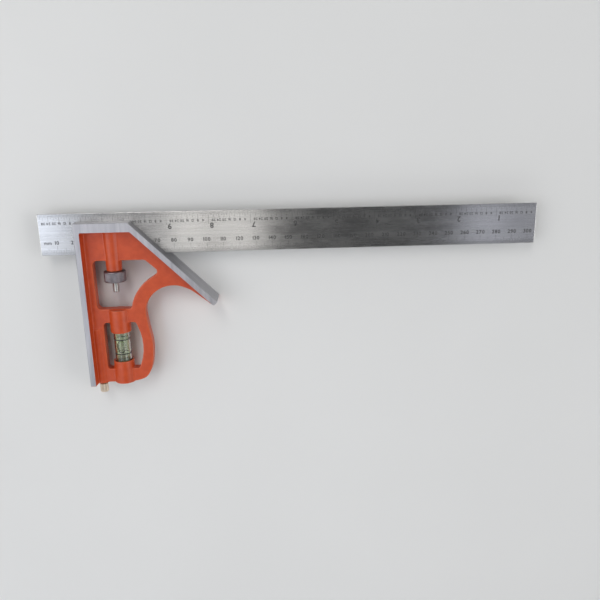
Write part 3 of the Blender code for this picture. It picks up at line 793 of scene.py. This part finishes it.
class Etching:
    """Marks on one side of the rule, collected into a single mesh."""

    def __init__(self, glyphs, front=True):
        self.glyphs = glyphs
        self.front = front
        self.points = []
        self.faces = []

    def _add(self, points, faces):
        start = sum(len(block) for block in self.points)
        self.points.append(points)
        self.faces += [tuple(start + index for index in face) for face in faces]

    def tick(self, along, upper, length):
        """A line from the rule's edge, along measured from the scale's own zero end."""
        low, high = TICK_INSET, length
        left, right = along - TICK_WIDTH / 2, along + TICK_WIDTH / 2
        corners = [(left, low), (right, low), (right, high), (left, high)]
        points = [(x, y, level) for level in (0.0, 1.0) for x, y in corners]
        faces = [(3, 2, 1, 0), (4, 5, 6, 7), (0, 1, 5, 4), (1, 2, 6, 5), (2, 3, 7, 6), (3, 0, 4, 7)]
        self._add(self._placed(np.array(points), upper), faces)

    def numeral(self, text, along, foot, height, upper):
        """A word centred on its place, its foot at this distance from the edge."""
        shapes = [self.glyphs.shape(character) for character in text]
        x = -(sum(width + GLYPH_GAP for *_, width in shapes) - GLYPH_GAP) / 2
        for points, faces, width in shapes:
            placed = (points + (x, 0.0, 0.0)) * (height, height, 1.0) + (along, foot, 0.0)
            self._add(self._placed(placed, upper), faces)
            x += width + GLYPH_GAP

    def _placed(self, points, upper):
        """From scale coordinates (along, away from the edge, 0 to 1 in depth) to the frame."""
        along, across, level = points.T
        level = -ETCH_ROOT + level * (ETCH_ROOT + ETCH_DEPTH)
        x = RULE_LOW.x + along if upper != self.front else RULE_HIGH.x - along
        y = RULE_HIGH.y - across if upper else RULE_LOW.y + across
        z = RULE_HIGH.z + level if self.front else RULE_LOW.z - level
        return np.column_stack((x, y, z))

    def mesh(self, name):
        marks = bpy.data.meshes.new("marks")
        marks.from_pydata(np.vstack(self.points).tolist(), [], self.faces)
        shape = bmesh.new()
        shape.from_mesh(marks)
        bpy.data.meshes.remove(marks)
        bmesh.ops.remove_doubles(shape, verts=shape.verts, dist=ETCH_MERGE)
        return from_bmesh(name, shape)


def metric_scale(etching, upper):
    """Millimetres with half-millimetre ticks and a numeral every ten."""
    last = int((RULE_HIGH.x - RULE_LOW.x) / MM)
    for half in range(1, 2 * last + 1):
        length = next(length for count, length in METRIC_TICKS if half % count == 0)
        etching.tick(half * MM / 2, upper, length * MM)
    for ten in range(10, last - 3, 10):
        etching.numeral(str(ten), ten * MM, *TEN_NUMERAL, upper)
    etching.numeral("mm", UNIT_MARK_PLACE, *UNIT_MARK, upper)


def inch_scale(etching, upper, parts):
    """Inches in the given number of parts, 16 or 32, with small numerals at the eighths."""
    inches = round((RULE_HIGH.x - RULE_LOW.x) / INCH)
    for index in range(1, inches * parts):
        share = index / parts % 1.0
        length = next(length for count, length in INCH_TICKS if share * count % 1.0 == 0.0)
        etching.tick(index * INCH / parts, upper, length * MM)
    for eighth in range(1, inches * 8):
        if eighth % 8:
            count = str(eighth % 8 * parts // 8)
            etching.numeral(count, eighth * INCH / 8, *EIGHTH_NUMERAL, upper)
        else:
            place = eighth * INCH / 8 - INCH_NUMERAL_OFFSET
            etching.numeral(str(eighth // 8), place, *INCH_NUMERAL, upper)


def lay_grain(mesh):
    """A UV map whose U runs across the rule, the way its fine grain scatters light."""
    corners = np.empty(len(mesh.loops), dtype=np.int32)
    mesh.loops.foreach_get("vertex_index", corners)
    points = np.empty(len(mesh.vertices) * 3)
    mesh.vertices.foreach_get("co", points)
    x, y, z = points.reshape(-1, 3)[corners].T
    layer = mesh.uv_layers.new(name=GRAIN_MAP)
    layer.uv.foreach_set("vector", np.column_stack((y + z, x + z)).ravel().astype(np.float32))


def make_rule(steel, black):
    """The strip with its broken edges and back groove, and the etched scales on both sides."""
    body = new_object("rule_strip", box_mesh("rule_strip", RULE_LOW, RULE_HIGH, RULE_EDGE_BREAK))
    middle = (RULE_LOW.y + RULE_HIGH.y) / 2
    groove = box_mesh(
        "groove",
        (RULE_LOW.x - OVERSHOOT, middle - GROOVE_HALF_WIDTH, RULE_LOW.z - OVERSHOOT),
        (RULE_HIGH.x + OVERSHOOT, middle + GROOVE_HALF_WIDTH, RULE_LOW.z + GROOVE_DEPTH),
        GROOVE_ROUNDING,
    )
    body = baked(body, "rule_strip", [combine(body, groove, "DIFFERENCE", "EXACT")])
    finish_piece(body, "rule", (steel,), ("rule",), FLAT_ANGLE)
    lay_grain(body.data)

    glyphs = Glyphs()
    front = Etching(glyphs)
    metric_scale(front, upper=False)
    inch_scale(front, upper=True, parts=32)
    add_piece(front.mesh("rule_scales_front"), "rule", "satin_stainless", black)
    back = Etching(glyphs, front=False)
    inch_scale(back, upper=False, parts=16)
    metric_scale(back, upper=True)
    add_piece(back.mesh("rule_scales_back"), "rule", "satin_stainless", black)


# ---- rule lock

THREAD_PITCH = 0.7 * MM
THREAD_DEPTH = 0.38 * MM
THREAD_RUN_IN = 0.4 * MM
STEM_RADIUS = 2.0 * MM
BOLT_CHAMFER = 0.3 * MM
BOLT_END_CHAMFER = 0.45 * MM
BOLT_COLLAR_DEPTH = 1.0 * MM
BOLT_LIP_FRONT = RULE_LOW.z + 0.25 * MM
CLEARANCE_HALF_WIDTH = 8.0 * MM
CLEARANCE_ROUNDING = 0.1 * MM
LIP_HALF_WIDTH = 1.2 * MM
LIP_HEIGHT = 1.6 * MM
LIP_BELOW_MIDDLE = 1.2 * MM
LIP_ROOT = 1.0 * MM
LIP_ROUNDING = 0.08 * MM
NUT_HOLE_RADIUS = 2.08 * MM
NUT_CHAMFER = 0.7 * MM
NUT_COUNTERSINK = 0.45 * MM
NUT_FACE_INSET = 0.4 * MM
KNURL_FADE = 0.3 * MM
SPRING_WIRE = 0.3 * MM
SPRING_TURNS = 6
SPRING_TURN_STEPS = 36
SPRING_END_TURN = 0.8
SPRING_END_RISE = 0.35 * MM
NUT_KNURLS = 38
NUT_KNURL_DEPTH = 0.30 * MM
NUT_KNURL_STEP = 0.11 * MM
KNURL_BAND = 0.1 * MM


def make_bolt(steel):
    """Hook bolt with a rolled M4 thread."""
    radius = (BOLT_HIGH.x - BOLT_LOW.x) / 2
    collar_bottom = SPRING_HIGH.y + GAP
    hook = new_object("hook", lathe("hook", [
        (0.0, BOLT_HIGH.y),
        *barrel(radius, BOLT_HIGH.y, collar_bottom, BOLT_CHAMFER),
        (0.0, collar_bottom),
    ], LOCK_AXIS))
    flat = RULE_LOW.z - GAP
    collar_top = RULE_LOW.y - BOLT_COLLAR_DEPTH
    clearance = box_mesh(
        "clearance", (LOCK_X - CLEARANCE_HALF_WIDTH, collar_top, flat),
        (LOCK_X + CLEARANCE_HALF_WIDTH, BOLT_HIGH.y + OVERSHOOT, HEAD_HIGH.z), CLEARANCE_ROUNDING,
    )
    lip_bottom = (RULE_LOW.y + RULE_HIGH.y) / 2 - LIP_BELOW_MIDDLE
    lip = box_mesh(
        "lip", (LOCK_X - LIP_HALF_WIDTH, lip_bottom, flat - LIP_ROOT),
        (LOCK_X + LIP_HALF_WIDTH, lip_bottom + LIP_HEIGHT, BOLT_LIP_FRONT), LIP_ROUNDING,
    )

    def thread(reach, height, angle):
        turn = triangle_wave(height / THREAD_PITCH + angle / (2 * math.pi))
        crest = min(1.0, max(0.0, 1.5 * turn - 0.25))
        return min(reach, STEM_RADIUS - THREAD_DEPTH * (1.0 - crest))

    end = BOLT_LOW.y
    profile = stepped([
        (STEM_RADIUS, collar_bottom + THREAD_RUN_IN), (STEM_RADIUS, end + BOLT_END_CHAMFER),
        (STEM_RADIUS - BOLT_END_CHAMFER, end),
    ], THREAD_PITCH / 9)
    rows = [(0.0, profile[0][1]), *profile, (0.0, end)]
    threaded = lathe("thread", rows, LOCK_AXIS, 48, shape_at=thread)
    helpers = [
        combine(hook, clearance, "DIFFERENCE"),
        combine(hook, lip, "UNION"),
        combine(hook, threaded, "UNION"),
    ]
    bolt = baked(hook, "lock_bolt_turned", helpers)
    finish_piece(bolt, "lock_bolt", (steel,), ("lock_bolt",))


def make_nut(steel):
    """Diamond-knurled nut between two plain chamfers, countersunk at both ends."""
    radius = (NUT_HIGH.x - NUT_LOW.x) / 2
    top, bottom = NUT_HIGH.y, NUT_LOW.y
    chamfer, sink = NUT_CHAMFER, NUT_COUNTERSINK
    face = radius - chamfer - NUT_FACE_INSET
    band_top, band_bottom = top - chamfer, bottom + chamfer
    pitch = 2 * math.pi * radius / NUT_KNURLS

    def knurl(reach, height, angle):
        if not band_bottom - MERGE <= height <= band_top + MERGE or reach < radius - KNURL_BAND:
            return reach
        around = NUT_KNURLS * angle / (2 * math.pi)
        along = height / pitch
        diamond = min(triangle_wave(around + along), triangle_wave(around - along))
        fade = min(1.0, (band_top - height) / KNURL_FADE, (height - band_bottom) / KNURL_FADE)
        return reach - NUT_KNURL_DEPTH * (1.0 - diamond) * max(0.0, fade) ** 0.5

    outer = stepped([(radius, band_top), (radius, band_bottom)], NUT_KNURL_STEP)
    profile = [
        (NUT_HOLE_RADIUS + sink, top),
        (face, top),
        *round_corner((radius - chamfer, band_top), chamfer, 80, 8, 4),
        *outer,
        *round_corner((radius - chamfer, band_bottom), chamfer, -8, -80, 4),
        (face, bottom),
        (NUT_HOLE_RADIUS + sink, bottom),
        (NUT_HOLE_RADIUS, bottom + sink),
        (NUT_HOLE_RADIUS, top - sink),
    ]
    mesh = lathe("lock_nut_knurled", profile, LOCK_AXIS, NUT_KNURLS * 8, True, knurl)
    add_piece(mesh, "lock_nut", "knurled_nickel", steel, "lock_nut")


def make_spring(steel):
    """Compression spring with closed, ground ends."""
    radius = (SPRING_HIGH.x - SPRING_LOW.x) / 2 - SPRING_WIRE
    low, high = SPRING_LOW.y + SPRING_WIRE, SPRING_HIGH.y - SPRING_WIRE
    turns = SPRING_TURNS
    steps = turns * SPRING_TURN_STEPS
    curve = bpy.data.curves.new("lock_spring_wire", "CURVE")
    curve.dimensions = "3D"
    curve.bevel_depth = SPRING_WIRE
    curve.bevel_resolution = 4
    curve.use_fill_caps = True
    spline = curve.splines.new("POLY")
    spline.points.add(steps)
    for step, point in enumerate(spline.points):
        share = step / steps
        risen = (share * turns - SPRING_END_TURN) / (turns - 2 * SPRING_END_TURN)
        rise = min(1.0, max(0.0, risen))
        closed = SPRING_END_RISE * (share - rise)
        angle = 2 * math.pi * turns * share
        point.co = (
            LOCK_X + radius * math.cos(angle), low + (high - low) * rise + closed * 0.5,
            MID_Z - radius * math.sin(angle), 1.0,
        )
    spring = new_object("lock_spring_wire", curve)
    curve.materials.append(steel)
    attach(spring, "lock_bolt")
    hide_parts("lock_spring")


# ---- spirit level

TUBE_WALL = 1.0 * MM
TUBE_ROUNDING = 0.8 * MM
TUBE_MOUTH_ROUNDING = 0.25 * MM
BORE_END_CHAMFER = 0.5 * MM
SPIRIT_SKIN = 0.02 * MM
SPIRIT_CHAMFER = 0.1 * MM
BUBBLE_SIZE = (4.8 * MM, 8.2 * MM, 3.2 * MM)
BUBBLE_DEPTH = 1.05 * MM
LINE_OFFSET = 4.7 * MM
LINE_HALF_WIDTH = 0.26 * MM
LINE_HEIGHT = 0.03 * MM
LINE_ROOT = 0.02 * MM
STOPPER_FIT = 0.1 * MM
STOPPER_CHAMFER = 0.3 * MM
FLANGE_CHAMFER = 0.2 * MM
PLUG_RIM = 1.0 * MM
PLUG_CHAMFER = 0.3 * MM
PLUG_ROUNDING = 0.2 * MM
DISH_STEP = 1.2 * MM
DISH_DEPTH = 1.5 * MM
GATE_RADIUS = 0.7 * MM
GATE_FOOT_RADIUS = 1.1 * MM


def make_vial(acrylic, frosted, spirit, ink):
    """Moulded vial with its reading lines, stopper, spirit and bubble."""
    radius = (TUBE_HIGH.x - TUBE_LOW.x) / 2
    bore = radius - TUBE_WALL
    soft, mouth, chamfer = TUBE_ROUNDING, TUBE_MOUTH_ROUNDING, BORE_END_CHAMFER
    top, bottom = TUBE_HIGH.y, TUBE_LOW.y
    end = LIQUID_HIGH.y + GAP
    tube = lathe("vial_glass", [
        (0.0, top),
        *round_corner((radius - soft, top - soft), soft, 90, 0),
        *round_corner((radius - mouth, bottom + mouth), mouth, 0, -90, 3),
        (bore, bottom),
        (bore, end - chamfer),
        (bore - chamfer, end),
        (0.0, end),
    ], VIAL_AXIS, 128)
    add_piece(tube, "head", "clear_acrylic", acrylic, "vial_tube")

    wet = bore - SPIRIT_SKIN
    liquid_top, liquid_bottom = end - SPIRIT_SKIN, CAP_HIGH.y + SPIRIT_SKIN
    fluid = new_object("fluid", lathe("fluid", [
        (0.0, liquid_top),
        (wet - chamfer, liquid_top),
        (wet, liquid_top - chamfer),
        (wet, liquid_bottom + SPIRIT_CHAMFER),
        (wet - SPIRIT_CHAMFER, liquid_bottom),
        (0.0, liquid_bottom),
    ], VIAL_AXIS))
    shape = bmesh.new()
    bmesh.ops.create_uvsphere(shape, u_segments=64, v_segments=40, radius=0.5)
    bmesh.ops.scale(shape, vec=BUBBLE_SIZE, verts=shape.verts)
    bubble_middle = ((top + bottom) / 2, MID_Z + bore - BUBBLE_DEPTH)
    bmesh.ops.translate(shape, vec=(VIAL_X, *bubble_middle), verts=shape.verts)
    bubble = combine(fluid, from_bmesh("bubble", shape), "DIFFERENCE")
    fluid = baked(fluid, "vial_spirit", [bubble])
    finish_piece(fluid, "head", (spirit,), ("vial_liquid",))

    for name, offset in (("vial_line_upper", LINE_OFFSET), ("vial_line_lower", -LINE_OFFSET)):
        height = (top + bottom) / 2 + offset
        ring = lathe(name, [
            (radius + LINE_HEIGHT, height + LINE_HALF_WIDTH),
            (radius + LINE_HEIGHT, height - LINE_HALF_WIDTH),
            (radius - LINE_ROOT, height - LINE_HALF_WIDTH),
            (radius - LINE_ROOT, height + LINE_HALF_WIDTH),
        ], VIAL_AXIS, 128, closed=True)
        add_piece(ring, "head", "clear_acrylic", ink)

    cap_radius = (CAP_HIGH.x - CAP_LOW.x) / 2
    stem = bore - STOPPER_FIT
    shoulder = TUBE_LOW.y - STOPPER_FIT
    cap = lathe("vial_stopper", [
        (0.0, CAP_HIGH.y),
        (stem - STOPPER_CHAMFER, CAP_HIGH.y),
        (stem, CAP_HIGH.y - STOPPER_CHAMFER),
        (stem, shoulder),
        *barrel(cap_radius, shoulder, CAP_LOW.y, FLANGE_CHAMFER),
        (0.0, CAP_LOW.y),
    ], VIAL_AXIS)
    add_piece(cap, "head", "clear_acrylic", frosted, "vial_cap")


def make_plug(plastic):
    """Dished drive-in plug with a moulding rim."""
    radius = (PLUG_HIGH.x - PLUG_LOW.x) / 2
    top, bottom = PLUG_HIGH.y, PLUG_LOW.y
    rim = radius - PLUG_RIM
    soft = PLUG_ROUNDING
    plug = lathe("vial_end_plug", [
        (0.0, top),
        (radius - PLUG_CHAMFER, top),
        (radius, top - PLUG_CHAMFER),
        (radius, bottom + soft),
        *round_corner((radius - soft, bottom + soft), soft, 0, -90, 3),
        *round_corner((rim + soft, bottom + soft), soft, 270, 180, 3),
        (rim, bottom + DISH_STEP),
        (rim - PLUG_CHAMFER, bottom + DISH_DEPTH),
        (GATE_FOOT_RADIUS, bottom + DISH_DEPTH),
        (GATE_RADIUS, bottom + DISH_STEP),
        (0.0, bottom + DISH_STEP),
    ], VIAL_AXIS)
    add_piece(plug, "head", "plug_plastic", plastic, "vial_plug")


# ---- scriber

NEEDLE_RADIUS = 0.9 * MM
NEEDLE_TIP_RADIUS = 0.06 * MM
NEEDLE_TIP_LENGTH = 0.15 * MM
NEEDLE_TAPER = 5.0 * MM
NEEDLE_SHOULDER = (0.05 * MM, 0.3 * MM)
NEEDLE_CHAMFER = 0.2 * MM
SLEEVE_OUTER_RADIUS = 2.1 * MM
SLEEVE_INNER_RADIUS = 1.0 * MM
SLEEVE_CHAMFER = 0.25 * MM
KNOB_KNURLS = 18
KNOB_KNURL_DEPTH = 0.16 * MM
KNOB_KNURL_FADE = 0.2 * MM
KNOB_KNURL_STEP = 0.15 * MM
KNOB_HOLE_RADIUS = 1.0 * MM
KNOB_HOLE_CHAMFER = 0.2 * MM
KNOB_FLOOR = 1.3 * MM
KNOB_NECK = ((1.65 * MM, 0.0), (1.75 * MM, 0.1 * MM), (1.75 * MM, 0.7 * MM), (2.15 * MM, 0.85 * MM))
KNOB_BAND = (1.1 * MM, 0.9 * MM)
KNOB_ROUNDING = 0.8 * MM


def make_scriber(steel, brass, knob_brass):
    """Needle with its taper, the friction sleeve in the head, and the knurled knob."""
    radius = NEEDLE_RADIUS
    inset, shoulder = NEEDLE_SHOULDER
    tip, foot = NEEDLE_HIGH.y, NEEDLE_LOW.y
    needle = lathe("scriber_point", [
        (0.0, tip),
        (NEEDLE_TIP_RADIUS, tip - NEEDLE_TIP_LENGTH),
        (radius - inset, tip - NEEDLE_TAPER),
        (radius, tip - NEEDLE_TAPER - shoulder),
        (radius, foot + NEEDLE_CHAMFER),
        (radius - NEEDLE_CHAMFER, foot),
        (0.0, foot),
    ], SCRIBER_AXIS, 48)
    add_piece(needle, "scriber", "needle_steel", steel, "scriber_needle")

    outer, inner, soft = SLEEVE_OUTER_RADIUS, SLEEVE_INNER_RADIUS, SLEEVE_CHAMFER
    top, bottom = BUSHING_HIGH.y, BUSHING_LOW.y
    sleeve = lathe("scriber_sleeve", [
        (inner + soft, top),
        *barrel(outer, top, bottom, soft),
        (inner + soft, bottom),
        (inner, bottom + soft),
        (inner, top - soft),
    ], SCRIBER_AXIS, 64, closed=True)
    add_piece(sleeve, "head", "brass", brass, "scriber_bushing")

    knob_radius = (KNOB_HIGH.x - KNOB_LOW.x) / 2
    top, bottom = KNOB_HIGH.y, KNOB_LOW.y
    band_top, band_bottom = top - KNOB_BAND[0], bottom + KNOB_BAND[1]
    hole, soft = KNOB_HOLE_RADIUS, KNOB_ROUNDING

    def knurl(reach, height, angle):
        if reach < knob_radius - KNURL_BAND:
            return reach
        wave = triangle_wave(KNOB_KNURLS * angle / (2 * math.pi))
        fade = min(1.0, max(0.0, min(band_top - height, height - band_bottom) / KNOB_KNURL_FADE))
        return reach - KNOB_KNURL_DEPTH * (1.0 - wave) * fade

    profile = [
        (hole, top - KNOB_HOLE_CHAMFER),
        (hole + KNOB_HOLE_CHAMFER, top),
        *((neck, top - below) for neck, below in KNOB_NECK),
        *stepped([(knob_radius, band_top), (knob_radius, band_bottom)], KNOB_KNURL_STEP),
        *round_corner((knob_radius - soft, bottom + soft), soft, 0, -90, 6),
        (0.0, bottom),
    ]
    back = [(0.0, bottom + KNOB_FLOOR), (hole, bottom + KNOB_FLOOR)]
    knob = lathe("scriber_grip", [*back, *profile], SCRIBER_AXIS, KNOB_KNURLS * 8, shape_at=knurl)
    add_piece(knob, "scriber", "brass", knob_brass, "scriber_knob")


# ---- stage

def make_floor():
    floor = new_object("floor", box_mesh(
        "floor", (-FLOOR_REACH, -FLOOR_REACH, -FLOOR_THICKNESS), (FLOOR_REACH, FLOOR_REACH, 0.0)
    ))
    paint = Paint("pale_floor", (0.74, 0.74, 0.73), 0.75)
    paint.two_tone(paint.noise(3.0), (0.72, 0.72, 0.71), (0.76, 0.76, 0.75))
    floor.data.materials.append(paint.material)


def add_softbox(name, place, target, size, radiance, color=(1.0, 1.0, 1.0)):
    light = bpy.data.lights.new(name, "AREA")
    light.shape = "RECTANGLE"
    light.size, light.size_y = size
    light.energy = radiance * math.pi * size[0] * size[1]
    light.color = color
    lamp = new_object(name, light)
    lamp.location = place
    aim = Vector(target) - Vector(place)
    lamp.rotation_euler = aim.to_track_quat("-Z", "Y").to_euler()


def make_sky():
    """A pale world that is dimmer near the horizon and dark overhead."""
    world = bpy.data.worlds.new("studio")
    bpy.context.scene.world = world
    world.use_nodes = True
    sky = world.node_tree
    direction = sky.nodes.new("ShaderNodeTexCoord")
    height = sky.nodes.new("ShaderNodeSeparateXYZ")
    falloff = sky.nodes.new("ShaderNodeValToRGB")
    ramp = falloff.color_ramp
    ramp.interpolation = "EASE"
    while len(ramp.elements) < len(SKY):
        ramp.elements.new(1.0)
    for element, (place, brightness) in zip(ramp.elements, SKY):
        element.position = place
        element.color = (*(tint * brightness for tint in SKY_TINT), 1.0)
    sky.links.new(direction.outputs["Generated"], height.inputs["Vector"])
    sky.links.new(height.outputs["Z"], falloff.inputs["Fac"])
    sky.links.new(falloff.outputs["Color"], sky.nodes["Background"].inputs["Color"])


def make_lights():
    """A key from behind, panels side by side overhead that the metal mirrors, and flank lights."""
    add_softbox(*KEY_LAMP)
    for name, left, right, low, high, radiance, color in PANELS:
        x, y = (left + right) / 2, (low + high) / 2
        add_softbox(name, (x, y, PANEL_HEIGHT), (x, y, 0.0), (right - left, high - low),
                    radiance, color)
    for lamp in SIDE_LAMPS:
        add_softbox(*lamp)


def make_camera():
    camera = bpy.data.cameras.new("camera")
    camera.lens = CAMERA_LENS
    camera.sensor_width = CAMERA_SENSOR
    camera.clip_start = 0.01
    holder = new_object("camera", camera)
    holder.location = CAMERA_PLACE
    holder.rotation_euler = tuple(math.radians(angle) for angle in CAMERA_TURN)
    bpy.context.scene.camera = holder


def main():
    make_camera()
    make_floor()
    bpy.context.scene.view_settings.view_transform = "Standard"
    make_sky()
    make_lights()
    black = etched_black()
    make_head(orange_enamel(), ground_zinc())
    make_rule(satin_stainless(), black)
    make_bolt(plated_steel("zinc_plated_steel", (0.58, 0.58, 0.57), (0.72, 0.72, 0.70)))
    make_nut(plated_steel("knurled_nickel", (0.21, 0.195, 0.21), (0.31, 0.285, 0.305),
                          (0.34, 0.50)))
    make_spring(plated_steel("spring_wire", (0.38, 0.39, 0.41), (0.50, 0.51, 0.53)))
    make_vial(clear_acrylic("vial_acrylic"), clear_acrylic("stopper_acrylic", 0.22),
              level_spirit(), black)
    make_plug(moulded_plastic("plug_plastic", (0.22, 0.215, 0.20), (0.30, 0.29, 0.27), 0.6))
    make_scriber(
        plated_steel("hardened_needle", (0.42, 0.42, 0.44), (0.55, 0.55, 0.56)),
        aged_brass("sleeve_brass", (0.50, 0.38, 0.20), (0.66, 0.53, 0.30)),
        aged_brass("knob_brass", (0.62, 0.50, 0.38), (0.78, 0.66, 0.53)),
    )
    bpy.context.view_layer.update()


main()
